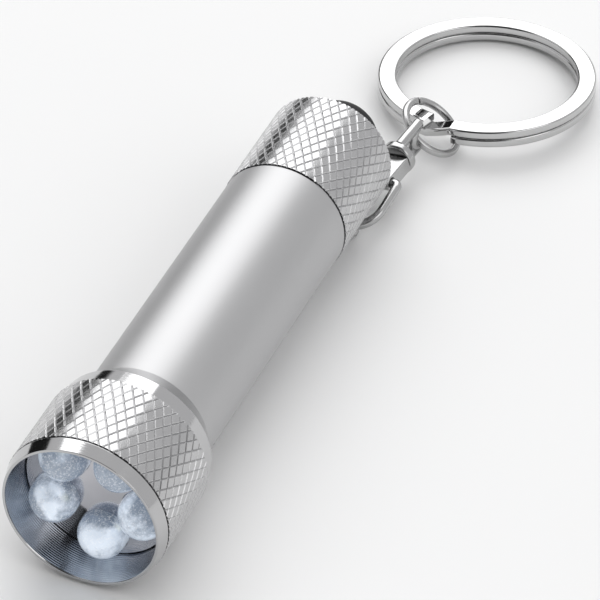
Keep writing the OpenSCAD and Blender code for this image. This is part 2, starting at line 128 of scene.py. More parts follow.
LUG_HOLE = joint_place("bail_swing")
PIN = joint_place("swivel_tilt")
BAIL_X = joint_axis("bail_swing")
BAIL_Y = (PIN - LUG_HOLE).normalized()
SPIN_Y = joint_axis("eye_spin")
BAIL_FRAME = Matrix.Translation(LUG_HOLE) @ axes(x=BAIL_X, y=BAIL_Y)
BLOCK_FRAME = Matrix.Translation(PIN) @ axes(x=BAIL_X, y=SPIN_Y)
BAIL_LEN = (PIN - LUG_HOLE).length
BAIL_HALF = 2.6
BAIL_WIRE = 0.5
BAIL_BEND = BAIL_WIRE + 0.15
BAIL_HOLD = 1.2
BLOCK_HALF = 1.8
BLOCK_LEN = 3.5
EYE_START = 4.6
EYE_LEN = 3.77
EYE_HALF = 1.4
EYE_WIRE = 0.6
COLLAR_R = 1.9
COLLAR_BORE_R = 0.54
UPRIGHT = Matrix.Rotation(math.radians(14), 4, "Y")
EYE_FRAME = BLOCK_FRAME @ UPRIGHT
JUMP_CENTRE = joint_place("jump_ring_turn")
JUMP_Z = joint_axis("jump_ring_turn")
JUMP_R = 3.38
JUMP_WIRE = 0.42
RING_CENTRE = joint_place("split_ring_turn")
RING_Z = joint_axis("split_ring_turn")
RING_R = 10.85
RING_W = 2.0
RING_T = 0.96
RING_RISE = 1.0
LUG_ANGLE = math.radians(-66.5)

# ---------------------------------------------------------------- materials


class Value:
    """One socket of a material's nodes; sums on it add Math nodes."""

    def __init__(self, maker, socket):
        self.maker = maker
        self.socket = socket

    def _math(self, operation, *others):
        return self.maker.node("ShaderNodeMath", {"operation": operation}, self, *others)

    def __add__(self, other):
        return self._math("ADD", other)

    __radd__ = __add__

    def __mul__(self, other):
        return self._math("MULTIPLY", other)

    __rmul__ = __mul__

    def __sub__(self, other):
        return self._math("SUBTRACT", other)

    def __rsub__(self, other):
        return self.maker.node("ShaderNodeMath", {"operation": "SUBTRACT"}, other, self)

    def __truediv__(self, other):
        return self._math("DIVIDE", other)

    def sin(self):
        return self._math("SINE")

    def clamp(self):
        return self.maker.node("ShaderNodeClamp", {}, self)


class Maker:
    """Adds nodes to one tree; values are places, in metres, or directions."""

    def __init__(self, tree, coordinate):
        self.tree = tree
        self.place = self.node("ShaderNodeTexCoord", out=coordinate)

    def node(self, kind, settings=None, *sockets, out=0, **named):
        """One node: its settings first, then the values or links of its sockets."""
        made = self.tree.nodes.new(kind)
        for key, value in (settings or {}).items():
            setattr(made, key, value)
        for key, value in list(enumerate(sockets)) + [(k.replace("_", " "), v) for k, v in named.items()]:
            if isinstance(value, Value):
                self.tree.links.new(value.socket, made.inputs[key])
            else:
                made.inputs[key].default_value = value
        return Value(self, made.outputs[out])

    def noise(self, scale, detail=3.0, stretch=(1, 1, 1), rough=0.5):
        at = self.node("ShaderNodeMapping", {}, self.place, Scale=stretch)
        return self.node("ShaderNodeTexNoise", {}, at, Scale=scale, Detail=detail, Roughness=rough)

    def mix(self, factor, a, b):
        made = self.tree.nodes.new("ShaderNodeMix")
        made.data_type = "RGBA"
        for index, value in ((0, factor), (6, a), (7, b)):
            if isinstance(value, Value):
                self.tree.links.new(value.socket, made.inputs[index])
            else:
                made.inputs[index].default_value = value if index == 0 else (*value, 1)
        return Value(self, made.outputs[2])

    def along(self, axis):
        return self.node("ShaderNodeSeparateXYZ", {}, self.place, out="XYZ".index(axis))

    def bump(self, height, strength, distance):
        return self.node("ShaderNodeBump", {}, Height=height, Strength=strength, Distance=distance)


class Finish(Maker):
    """A material with one Principled shader; fixed values go on the shader's own sockets."""

    def __init__(self, name, **fixed):
        self.material = bpy.data.materials.new(name)
        self.material.use_nodes = True
        super().__init__(self.material.node_tree, "Object")
        self.shader = self.tree.nodes["Principled BSDF"]
        for key, value in fixed.items():
            self.shader.inputs[key.replace("_", " ")].default_value = value

    def feed(self, **named):
        for key, value in named.items():
            self.tree.links.new(value.socket, self.shader.inputs[key.replace("_", " ")])


def turning_rings(finish, pitch_mm):
    """Fine lathe lines round the Y axis."""
    return ((finish.along("Y") / (pitch_mm * MM) * math.tau).sin() + 1) * 0.5


def polished_aluminium():
    f = Finish("polished aluminium", Metallic=1.0)
    smear = f.noise(260, stretch=(1, 0.3, 1))
    lines = f.noise(900, detail=2, stretch=(0.02, 6, 0.02))
    f.feed(Base_Color=f.mix(smear, (0.46, 0.46, 0.465), (0.53, 0.53, 0.535)),
           Roughness=smear * 0.06 + 0.07,
           Normal=f.bump(lines, 0.12, 0.00004))
    return f.material


def knurled_aluminium():
    f = Finish("knurled aluminium", Metallic=1.0)
    smear = f.noise(420)
    pits = f.noise(5200, detail=2)
    f.feed(Base_Color=f.mix(smear, (0.45, 0.45, 0.455), (0.55, 0.55, 0.555)),
           Roughness=smear * 0.10 + 0.16,
           Normal=f.bump(pits, 0.15, 0.00003))
    return f.material


def satin_aluminium():
    f = Finish("satin aluminium", Metallic=1.0)
    grain = f.noise(6500, detail=2)
    cloud = f.noise(90)
    f.feed(Base_Color=f.mix(cloud, (0.47, 0.47, 0.475), (0.51, 0.51, 0.515)),
           Roughness=cloud * 0.05 + 0.46,
           Normal=f.bump(grain, 0.10, 0.00003))
    return f.material


def bored_aluminium():
    f = Finish("bored aluminium", Metallic=1.0)
    wear = f.noise(350)
    f.feed(Base_Color=f.mix(wear, (0.41, 0.44, 0.48), (0.66, 0.69, 0.73)),
           Roughness=wear * 0.08 + 0.07,
           Normal=f.bump(turning_rings(f, 0.26), 0.8, 0.00002))
    return f.material


def mirror_plate():
    f = Finish("mirror plate", Metallic=1.0)
    wear = f.noise(500)
    f.feed(Base_Color=f.mix(wear, (0.50, 0.50, 0.53), (0.60, 0.60, 0.63)), Roughness=wear * 0.06 + 0.05)
    return f.material


def nickel(name="polished nickel", tint=(0.42, 0.42, 0.42), rough=0.20):
    f = Finish(name, Metallic=1.0)
    smear = f.noise(500)
    scratches = f.noise(2600, detail=2, stretch=(1, 0.15, 1))
    bright = tuple(c * 1.12 for c in tint)
    f.feed(Base_Color=f.mix(smear, tint, bright),
           Roughness=smear * 0.08 + rough,
           Normal=f.bump(scratches, 0.05, 0.00003))
    return f.material


def clear_epoxy():
    """Clear resin over a bright cup: pale towards the tip, slate behind; it gives off a painted glow in the
    same pattern, with painted white glints of sparkle.
    """
    # The emission set here is painted glow: the resin gives off light of its own.
    f = Finish("clear epoxy", IOR=1.5, Transmission_Weight=0.4, Coat_Weight=1.0, Emission_Strength=0.5)
    depth = f.noise(300, detail=4, rough=0.55)
    sparkle = f.noise(5200, detail=4, rough=0.8)
    tip = (1 - (f.along("Y") - 0.0013) / 0.0045).clamp()
    pale = (((depth - 0.46) * 6.5).clamp() * 0.8 + tip * 0.25).clamp()
    # painted glints: white specks of highlight where the sparkle noise peaks, put into both the colour and
    # the glow
    painted_glint = ((sparkle - 0.52) * 8).clamp()
    body = f.mix(pale, (0.17, 0.22, 0.30), (0.84, 0.90, 0.97))
    # painted glow: light given off by the resin in pale and slate patches, paler towards the tip
    painted_glow = f.mix(pale, (0.04, 0.06, 0.09), (0.66, 0.73, 0.82))
    f.feed(Base_Color=f.mix(painted_glint * 0.5, body, (1.0, 1.0, 1.0)),
           Emission_Color=f.mix(painted_glint * 0.5, painted_glow, (1.0, 1.0, 1.0)),
           Roughness=sparkle * 0.12 + 0.04,
           Normal=f.bump(depth + sparkle * 0.3, 0.3, 0.00012))
    return f.material


def plain(name, colour, other, rough, grain=900, metal=0.0, bump=0.1, **fixed):
    """Moulded, coated or rolled stock: two close shades, a little grain."""
    f = Finish(name, Metallic=metal, **fixed)
    cloud = f.noise(grain / 3)
    f.feed(Base_Color=f.mix(cloud, colour, other),
           Roughness=cloud * 0.12 + rough,
           Normal=f.bump(f.noise(grain * 3, detail=2), bump, 0.00004))
    return f.material


POLISHED = polished_aluminium()
KNURLED = knurled_aluminium()
SATIN = satin_aluminium()
BORED = bored_aluminium()
PLATE = mirror_plate()
NICKEL = nickel()
RING_NICKEL = nickel("ring nickel", (0.50, 0.50, 0.50), rough=0.03)
EPOXY = clear_epoxy()
SILVERED = nickel("silvered leads", (0.80, 0.81, 0.83), rough=0.08)
BLACK_RUBBER = plain("black rubber", (0.008, 0.008, 0.009), (0.014, 0.014, 0.015), 0.5, grain=1500,
                     Specular_IOR_Level=0.2)
BLACK_PLASTIC = plain("black plastic", (0.012, 0.012, 0.013), (0.03, 0.03, 0.03), 0.40)
WHITE_PLASTIC = plain("white plastic", (0.78, 0.78, 0.75), (0.84, 0.84, 0.82), 0.42)
BOARD_GREEN = plain("board green", (0.010, 0.12, 0.04), (0.02, 0.17, 0.06), 0.28, Coat_Weight=0.5)
BRASS = plain("brass", (0.72, 0.52, 0.22), (0.80, 0.62, 0.30), 0.20, metal=1.0)
CELL_STEEL = plain("cell steel", (0.62, 0.62, 0.62), (0.72, 0.72, 0.71), 0.20, metal=1.0)
SPRING_STEEL = plain("spring steel", (0.48, 0.48, 0.49), (0.60, 0.60, 0.60), 0.22, metal=1.0)
PHOSPHOR = plain("phosphor", (0.80, 0.74, 0.30), (0.88, 0.84, 0.42), 0.55)

# ---------------------------------------------------------------- mesh helpers


def finish_piece(name, bm, body, finishes, stands_for, crease=35):
    """Makes the object at the origin, in metres, and puts it on its body."""
    bmesh.ops.remove_doubles(bm, verts=bm.verts, dist=1e-4)
    bmesh.ops.recalc_face_normals(bm, faces=bm.faces)
    bmesh.ops.scale(bm, vec=(MM, MM, MM), verts=bm.verts)
    mesh = bpy.data.meshes.new(name)
    bm.to_mesh(mesh)
    bm.free()
    mesh.shade_smooth()
    mesh.set_sharp_from_angle(angle=math.radians(crease))
    for finish in finishes:
        mesh.materials.append(finish)
    piece = bpy.data.objects.new(name, mesh)
    bpy.context.scene.collection.objects.link(piece)
    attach(piece, body)
    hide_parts(*stands_for)


def rounded(points, radius, steps=4):
    """The outline with its listed corners rounded: points are (r, y) or (r, y, own radius).

    A point just outside each rounding keeps the shading of the flats beside it flat.
    """
    beside = 0.03
    out = []
    count = len(points)
    for i, point in enumerate(points):
        own = point[2] if len(point) > 2 else radius
        here = Vector(point[:2])
        before = Vector(points[i - 1][:2]) - here
        after = Vector(points[(i + 1) % count][:2]) - here
        if own <= 0 or before.length < 1e-6 or after.length < 1e-6:
            out.append(here)
            continue
        bend = before.angle(after)
        if bend > math.radians(176):
            out.append(here)
            continue
        cut = min(own / math.tan(bend / 2), before.length * 0.45, after.length * 0.45)
        a = here + before.normalized() * cut
        b = here + after.normalized() * cut
        if cut + beside < before.length * 0.5:
            out.append(a + before.normalized() * beside)
        for k in range(steps + 1):
            t = k / steps
            out.append((1 - t) ** 2 * a + 2 * t * (1 - t) * here + t * t * b)
        if cut + beside < after.length * 0.5:
            out.append(b + after.normalized() * beside)
    return out


def lathe(bm, outline, steps, closed=True):
    """Spins an outline of (r, y) points round the Y axis."""
    verts = [bm.verts.new((p[0], p[1], 0)) for p in outline]
    pairs = list(zip(verts, verts[1:]))
    if closed:
        pairs.append((verts[-1], verts[0]))
    edges = [bm.edges.new(pair) for pair in pairs]
    before = set(bm.faces)
    bmesh.ops.spin(bm, geom=verts + edges, cent=(0, 0, 0), axis=(0, 1, 0), angle=math.tau,
                   steps=steps, use_merge=True)
    return [f for f in bm.faces if f not in before]


def disc(bm, radius, place, segments=24):
    """A round face of wire, its normal along +Y before the place is applied."""
    made = bmesh.ops.create_circle(bm, cap_ends=True, radius=radius, segments=segments,
                                   matrix=place @ Matrix.Rotation(-math.pi / 2, 4, "X"))
    return list({face for v in made["verts"] for face in v.link_faces})


def pull(bm, faces, step):
    """Draws faces straight out by a vector and returns the new end faces."""
    made = bmesh.ops.extrude_face_region(bm, geom=faces)["geom"]
    verts = [g for g in made if isinstance(g, bmesh.types.BMVert)]
    bmesh.ops.translate(bm, vec=step, verts=verts)
    bmesh.ops.delete(bm, geom=[f for f in faces if f.is_valid], context="FACES_ONLY")
    return [g for g in made if isinstance(g, bmesh.types.BMFace)]


def swing(bm, faces, centre, axis, angle, steps, rise=None):
    """Spins faces along an arc, with an optional rise, and returns the end faces."""
    step = rise / steps if rise is not None else Vector((0, 0, 0))
    made = bmesh.ops.spin(bm, geom=faces, cent=centre, axis=axis, dvec=step, angle=angle, steps=steps)
    return [g for g in made["geom_last"] if isinstance(g, bmesh.types.BMFace)]


def knurl(bm, radius, start, end, starts, depth=0.11, groove=0.09, edge=0.03, finish=0):
    """Flat-topped diamonds between two families of V grooves, as one ring with closed ends."""
    pitch = math.tau * radius / starts
    row = pitch / 2 / math.tan(KNURL_HELIX)
    rows = (end - start) / row
    half = math.ceil((2 * starts + rows) / 2) + 2
    bmesh.ops.create_grid(bm, x_segments=2 * half, y_segments=2 * half, size=half)
    middle = (start + end) / 2
    for v in bm.verts:
        i, j = v.co.x, v.co.y
        v.co = Vector(((i + j) * pitch / 2 + starts * pitch / 2, middle + (i - j) * row, 0))
    outside = []
    for face in bm.faces:
        centre = face.calc_center_median()
        round_ok = pitch / 4 < centre.x < starts * pitch + pitch / 4
        along_ok = start - row * 1.1 < centre.y < end + row * 1.1
        if not (round_ok and along_ok):
            outside.append(face)
    bmesh.ops.delete(bm, geom=outside, context="FACES")
    for v in bm.verts:
        angle = v.co.x / radius
        v.co = Vector((radius * math.cos(angle), v.co.y, radius * math.sin(angle)))
    bmesh.ops.remove_doubles(bm, verts=bm.verts, dist=0.01)
    bmesh.ops.recalc_face_normals(bm, faces=bm.faces)

    def set_radius(verts, value):
        for v in verts:
            flat = Vector((v.co.x, v.co.z))
            flat *= value / flat.length
            v.co.x, v.co.z = flat

    bottoms = list(bm.verts)
    tops = list(bm.faces)
    bmesh.ops.inset_individual(bm, faces=tops, thickness=groove, use_even_offset=True)
    shoulders = list({v for face in tops for v in face.verts})
    bmesh.ops.inset_individual(bm, faces=tops, thickness=edge, use_even_offset=True)
    crests = list({v for face in tops for v in face.verts})
    set_radius(bottoms, radius - depth)
    set_radius(shoulders, radius - edge * 0.6)
    set_radius(crests, radius)
    middles = bmesh.ops.poke(bm, faces=tops)["verts"]
    set_radius(middles, radius)
    for y, side in ((start, -1), (end, 1)):
        bmesh.ops.bisect_plane(bm, geom=list(bm.verts) + list(bm.edges) + list(bm.faces),
                               plane_co=(0, y, 0), plane_no=(0, side, 0), clear_outer=True)
    rims = [e for e in bm.edges if e.is_boundary]
    made = bmesh.ops.extrude_edge_only(bm, edges=rims)["geom"]
    set_radius([g for g in made if isinstance(g, bmesh.types.BMVert)], radius - depth - 0.1)
    inner = [g for g in made if isinstance(g, bmesh.types.BMEdge)]
    bmesh.ops.bridge_loops(bm, edges=inner)
    for face in bm.faces:
        face.material_index = finish


def joined(target, source):
    """Adds one bmesh's shape to another."""
    mesh = bpy.data.meshes.new("part")
    source.to_mesh(mesh)
    source.free()
    target.from_mesh(mesh)
    bpy.data.meshes.remove(mesh)


# ---------------------------------------------------------------- body: head and tube
def make_body():
    core = HEAD_R - 0.22
    bm = bmesh.new()
    knurl(bm, HEAD_R, KNURL_FROM, KNURL_TO, HEAD_STARTS, finish=1)
    shell = bmesh.new()
    outline = rounded([
        (PLATE_R + 0.02, SEAT_Y, 0), (PLATE_R + 0.02, PLATE_Y, 0), (LIP_R, 0.12, 0.05),
        (LIP_R + 0.05, 0, 0.05), (RIM_R, 0, 0.06), (HEAD_R - 0.05, BAND_END, 0.05),
        (HEAD_R - 0.3, BAND_END, 0), (HEAD_R - 0.3, KNURL_FROM, 0), (core, KNURL_FROM, 0),
        (core, KNURL_TO, 0), (HEAD_R - 0.12, KNURL_TO, 0.03), (TAPER_R, TAPER_END, 0.12),
        (TUBE_R, CHAMFER_END, 0.2), (TUBE_R, JOINT_Y, 0.05), (BORE_R, JOINT_Y, 0.05),
        (BORE_R, SEAT_Y, 0)], 0)
    lathe(shell, outline, steps=192)
    for face in shell.faces:
        centre = face.calc_center_median()
        radius = math.hypot(centre.x, centre.z)
        if radius < TUBE_R - 0.05 or (radius < LIP_R - 0.01 and centre.y < SEAT_Y):
            face.material_index = 3
        elif centre.y > CHAMFER_END - 0.02:
            face.material_index = 2
    joined(bm, shell)
    finish_piece("head_and_tube", bm, "flashlight",
                 [POLISHED, KNURLED, SATIN, BORED], ["body"], crease=29)


# ---------------------------------------------------------------- LEDs
def led_place(index):
    angle = LED_ANGLE + index * math.tau / LED_COUNT
    return Matrix.Rotation(-angle, 4, "Y") @ Matrix.Translation((LED_PITCH_R, 0, 0))


def make_led(index):
    """A clear body with a round dome and a flange at its back."""
    bm = bmesh.new()
    dome = [(LED_R * math.sin(a), LED_DOME_Y - LED_R * math.cos(a))
            for a in [math.pi / 2 * k / 14 for k in range(15)]]
    outline = dome + rounded([(LED_R, LED_BACK - 1, 0.1), (LED_R + 0.25, LED_BACK - 1, 0.06),
                              (LED_R + 0.25, LED_BACK, 0.06), (0, LED_BACK, 0)], 0)
    lathe(bm, outline, steps=48, closed=False)
    bmesh.ops.transform(bm, matrix=led_place(index), verts=bm.verts)
    finish_piece(f"led_body_{index + 1}", bm, "flashlight", [EPOXY],
                 [f"led_{index + 1}"])


def make_led_insides():
    """Legs with their wide heads, reflector cups and chips of all five LEDs."""
    bm = bmesh.new()
    cup_y = LED_DOME_Y + 0.6
    for index in range(LED_COUNT):
        part = bmesh.new()
        for side in (-1, 1):
            leg = bmesh.ops.create_cube(part, size=1)["verts"]
            length = SEAT_Y + 0.4 - cup_y - 0.4
            bmesh.ops.scale(part, vec=(0.5, length, 0.5), verts=leg)
            bmesh.ops.translate(part, vec=(0, cup_y + 0.4 + length / 2, side * 1.27), verts=leg)
            head = bmesh.ops.create_cube(part, size=1)["verts"]
            wide = 1.5 if side > 0 else 0.8
            bmesh.ops.scale(part, vec=(0.5, 1.1, wide), verts=head)
            bmesh.ops.translate(part, vec=(0, cup_y + 0.9, side * 1.52 - side * wide / 2), verts=head)
        bmesh.ops.bevel(part, geom=list(part.edges), offset=0.05, offset_type="OFFSET", segments=2,
                        profile=0.5, affect="EDGES", material=-1)
        cup = rounded([(0.05, 0.42), (0.28, 0.42, 0.05), (0.62, 0, 0.04), (0.74, 0, 0.04),
                       (0.74, 0.6, 0.1), (0.05, 0.6)], 0)
        made = lathe(part, cup, steps=24)
        verts = list({v for face in made for v in face.verts})
        bmesh.ops.translate(part, vec=(0, cup_y, 0.7), verts=verts)
        chip = bmesh.ops.create_cube(part, size=0.34)["verts"]
        bmesh.ops.translate(part, vec=(0, cup_y + 0.3, 0.7), verts=chip)
        for face in {f for v in chip for f in v.link_faces}:
            face.material_index = 1
        bmesh.ops.transform(part, matrix=led_place(index), verts=part.verts)
        joined(bm, part)
    finish_piece("led_cups_and_legs", bm, "flashlight",
                 [SILVERED, PHOSPHOR], ["led_leads"])


def make_led_plate():
    """The polished plate round the LEDs; a thin gap parts its rim from the head."""
    bm = bmesh.new()
    holes = LED_R + 0.05
    rim = bmesh.ops.create_circle(bm, radius=PLATE_R - 0.1, segments=120)["verts"]
    groups = [rim]
    for index in range(LED_COUNT):
        angle = LED_ANGLE + index * math.tau / LED_COUNT
        place = Matrix.Translation((LED_PITCH_R * math.cos(angle), LED_PITCH_R * math.sin(angle), 0))
        groups.append(bmesh.ops.create_circle(bm, radius=holes, segments=40, matrix=place)["verts"])
    edges = list({e for group in groups for v in group for e in v.link_edges})
    bmesh.ops.triangle_fill(bm, use_beauty=True, edges=edges, normal=(0, 0, 1))
    bmesh.ops.rotate(bm, cent=(0, 0, 0), matrix=Matrix.Rotation(math.pi / 2, 3, "X"), verts=bm.verts)
    bmesh.ops.translate(bm, vec=(0, PLATE_Y, 0), verts=bm.verts)
    made = bmesh.ops.extrude_face_region(bm, geom=list(bm.faces))["geom"]
    bmesh.ops.translate(bm, vec=(0, PLATE_T, 0), verts=[g for g in made if isinstance(g, bmesh.types.BMVert)])
    finish_piece("led_face_plate", bm, "flashlight", [PLATE], ["led_plate"])


# ---------------------------------------------------------------- tail cap and button
def make_tail_cap():
    core = CAP_R - 0.22
    bm = bmesh.new()
    knurl(bm, CAP_R, CAP_Y + 0.04, TAIL_Y - 0.12, CAP_STARTS, finish=1)
    shell = bmesh.new()
    root = SPIGOT_R - 0.12
    seal = JOINT_Y - 0.75
    outline = rounded([
        (CAVITY_R, SPIGOT_Y, 0.05), (root, SPIGOT_Y, 0.1),
        (root, seal - 0.45, 0), (SPIGOT_R, seal - 0.45, 0.04),
        (SPIGOT_R, seal - 0.22, 0.03), (SPIGOT_R - 0.38, seal - 0.22, 0), (SPIGOT_R - 0.38, seal + 0.22, 0),
        (SPIGOT_R, seal + 0.22, 0.03), (SPIGOT_R, CAP_Y, 0), (core, CAP_Y, 0.05),
        (core, TAIL_Y - 0.12, 0), (CAP_R - 0.16, TAIL_Y - 0.02, 0.03), (CAP_R - 0.2, TAIL_Y, 0.02),
        (BUTTON_R + 0.1, TAIL_Y, 0.12), (BUTTON_R + 0.1, TAIL_Y - END_WALL, 0.05),
        (CAVITY_R, TAIL_Y - END_WALL, 0)], 0)
    lathe(shell, outline, steps=168)
    for face in shell.faces:
        centre = face.calc_center_median()
        if math.hypot(centre.x, centre.z) < CAVITY_R + 0.02 and centre.y < TAIL_Y - 0.2:
            face.material_index = 2
    joined(bm, shell)
    thread = bmesh.new()
    turns, pitch, steps = 3.4, 0.75, 48
    corners = [(root - 0.02, -0.24), (SPIGOT_R, -0.06), (SPIGOT_R, 0.06), (root - 0.02, 0.24)]
    section = thread.faces.new([thread.verts.new((r, SPIGOT_Y + 0.45 + y, 0)) for r, y in corners])
    swing(thread, [section], (0, 0, 0), (0, 1, 0), math.tau * turns, int(steps * turns),
          Vector((0, pitch * turns, 0)))
    joined(bm, thread)
    finish_piece("knurled_tail_cap", bm, "cap",
                 [POLISHED, KNURLED, BORED], ["tail_cap"], crease=29)


def make_button():
    bm = bmesh.new()
    r = BUTTON_R
    arc_r = r - BUTTON_ROUND
    arc_y = BUTTON_TOP - BUTTON_ROUND
    outline = [(0, BUTTON_TOP)]
    outline += [(arc_r + BUTTON_ROUND * math.sin(a), arc_y + BUTTON_ROUND * math.cos(a))
                for a in [math.pi / 2 * k / 12 for k in range(13)]]
    outline += rounded([(r, TAIL_Y + 0.5, 0.1), (r - 0.06, TAIL_Y + 0.42, 0.05),
                        (r - 0.06, BUTTON_LOW + 0.86, 0), (r + 0.75, BUTTON_LOW + 0.84, 0.1),
                        (r + 0.75, BUTTON_LOW, 0.1),
                        (r - 0.9, BUTTON_LOW, 0.1), (r - 0.9, TAIL_Y + 2, 0.4), (1.7, TAIL_Y + 2, 0.4),
                        (1.7, BUTTON_LOW, 0.1), (0, BUTTON_LOW, 0)], 0)
    lathe(bm, outline, steps=96, closed=False)
    finish_piece("rubber_button", bm, "button", [BLACK_RUBBER], ["push_button"])


# ---------------------------------------------------------------- key hardware
def bored_plate(bm, hole, ear, thick, back, edge):
    """A plate in XY: round about its hole at the origin, square at x = -back, edges eased."""
    count = 64
    bmesh.ops.create_circle(bm, radius=hole, segments=count)
    outer = bmesh.ops.create_circle(bm, radius=ear, segments=count)["verts"]
    for v in outer:
        if v.co.x < -1e-6:
            v.co *= min(-back / v.co.x, ear / max(abs(v.co.y), 1e-6))
    bmesh.ops.bridge_loops(bm, edges=list(bm.edges))
    bmesh.ops.translate(bm, vec=(0, 0, -thick / 2), verts=bm.verts)
    made = bmesh.ops.extrude_face_region(bm, geom=list(bm.faces))["geom"]
    bmesh.ops.translate(bm, vec=(0, 0, thick), verts=[g for g in made if isinstance(g, bmesh.types.BMVert)])
    bmesh.ops.recalc_face_normals(bm, faces=bm.faces)
    sharp = [e for e in bm.edges if len(e.link_faces) == 2 and e.calc_face_angle(0) > 1.0]
    bmesh.ops.bevel(bm, geom=sharp, offset=edge, offset_type="OFFSET", segments=3, profile=0.5,
                    affect="EDGES", material=-1)


def make_lug():
    """A pressed lug: its rounded ear stands out of the cap, round the bail's hole."""
    bm = bmesh.new()
    bored_plate(bm, hole=0.9, ear=1.3, thick=1.0, back=1.7, edge=0.12)
    lug = Vector((math.cos(LUG_ANGLE), 0, math.sin(LUG_ANGLE)))
    place = Matrix.Translation(LUG_HOLE) @ axes(x=lug, y=Vector((0, 1, 0)))
    bmesh.ops.transform(bm, matrix=place, verts=bm.verts)
    finish_piece("pressed_lug", bm, "cap", [NICKEL], ["key_lug"])


def make_bail():
    """Round wire bent through the lug; both ends bend in and stand in the block's bore."""
    bm = bmesh.new()
    leg = BAIL_LEN - BAIL_HALF - BAIL_BEND
    stub = BAIL_HALF - BAIL_BEND - BLOCK_HALF + BAIL_HOLD
    start = disc(bm, BAIL_WIRE, Matrix.Translation((BAIL_HALF - BAIL_BEND - stub, BAIL_LEN, 0)) @
                 Matrix.Rotation(-math.pi / 2, 4, "Z"), segments=32)
    end = pull(bm, start, Vector((stub, 0, 0)))
    corner = BAIL_LEN - BAIL_BEND
    end = swing(bm, end, (BAIL_HALF - BAIL_BEND, corner, 0), (0, 0, 1), -math.pi / 2, 14)
    end = pull(bm, end, Vector((0, -leg, 0)))
    end = swing(bm, end, (0, BAIL_HALF, 0), (0, 0, 1), -math.pi, 40)
    end = pull(bm, end, Vector((0, leg, 0)))
    end = swing(bm, end, (BAIL_BEND - BAIL_HALF, corner, 0), (0, 0, 1), -math.pi / 2, 14)
    pull(bm, end, Vector((stub, 0, 0)))
    bmesh.ops.transform(bm, matrix=BAIL_FRAME, verts=bm.verts)
    finish_piece("wire_bail", bm, "bail", [NICKEL], ["bail"])


def make_swivel_block():
    """The flat block between the bail's legs, rounded about its cross bore."""
    bm = bmesh.new()
    bored_plate(bm, hole=BAIL_WIRE + 0.04, ear=0.85, thick=2 * BLOCK_HALF, back=BLOCK_LEN, edge=0.16)
    place = BLOCK_FRAME @ axes(x=Vector((0, -1, 0)), z=Vector((1, 0, 0)))
    bmesh.ops.transform(bm, matrix=place, verts=bm.verts)
    finish_piece("swivel_body", bm, "swivel", [NICKEL], ["swivel_block"])


def make_swivel_rivet():
    bm = bmesh.new()
    head = EYE_START + 0.04
    foot = BLOCK_LEN - 1.4
    outline = [(0, foot)]
    outline += rounded([(0.5, foot, 0), (0.5, head, 0), (0.75, head, 0.05),
                        (0.72, head + 0.5, 0.3)], 0)
    outline.append((0, head + 0.5))
    lathe(bm, outline, steps=32, closed=False)
    bmesh.ops.transform(bm, matrix=BLOCK_FRAME, verts=bm.verts)
    finish_piece("swivel_stud", bm, "swivel", [NICKEL], ["swivel_rivet"])


def make_swivel_eye():
    """A turned collar with a U of wire, standing upright."""
    bm = bmesh.new()
    bottom = BLOCK_LEN + 0.1
    collar = rounded([(COLLAR_BORE_R, bottom, 0.05), (COLLAR_R, bottom, 0.3),
                      (COLLAR_R, EYE_START, 0.3), (COLLAR_BORE_R, EYE_START, 0.05)], 0)
    lathe(bm, collar, steps=64)
    wire = bmesh.new()
    start = disc(wire, EYE_WIRE, Matrix.Translation((0, EYE_START - 0.2, -EYE_HALF)))
    end = pull(wire, start, Vector((0, EYE_LEN + 0.2, 0)))
    end = swing(wire, end, (0, EYE_START + EYE_LEN, 0), (1, 0, 0), -math.pi, 32)
    pull(wire, end, Vector((0, -EYE_LEN - 0.2, 0)))
    joined(bm, wire)
    bmesh.ops.transform(bm, matrix=EYE_FRAME, verts=bm.verts)
    finish_piece("swivel_loop", bm, "eye", [NICKEL], ["swivel_eye"])


def ring_frame(centre, normal, forward):
    """A frame at the centre with +Z along the normal and +X near the forward direction."""
    x = (forward - normal * forward.dot(normal)).normalized()
    return Matrix.Translation(centre) @ axes(x=x, z=normal)


def make_jump_ring():
    bm = bmesh.new()
    start = disc(bm, JUMP_WIRE, Matrix.Translation((JUMP_R, 0, 0)))
    swing(bm, start, (0, 0, 0), (0, 0, 1), math.radians(356), 96)
    sharp = [e for e in bm.edges if len(e.link_faces) == 2 and e.calc_face_angle(0) > 1.2]
    bmesh.ops.bevel(bm, geom=sharp, offset=0.06, offset_type="OFFSET", segments=2, profile=0.5,
                    affect="EDGES", material=-1)
    lean = math.radians(8.9)
    across = Vector((math.cos(lean), math.sin(lean), 0))
    down = (across - JUMP_Z * across.dot(JUMP_Z)).normalized()
    place = ring_frame(JUMP_CENTRE, JUMP_Z, down) @ Matrix.Rotation(math.radians(142), 4, "Z")
    bmesh.ops.transform(bm, matrix=place, verts=bm.verts)
    finish_piece("wire_jump_ring", bm, "jump", [NICKEL], ["jump_ring"])


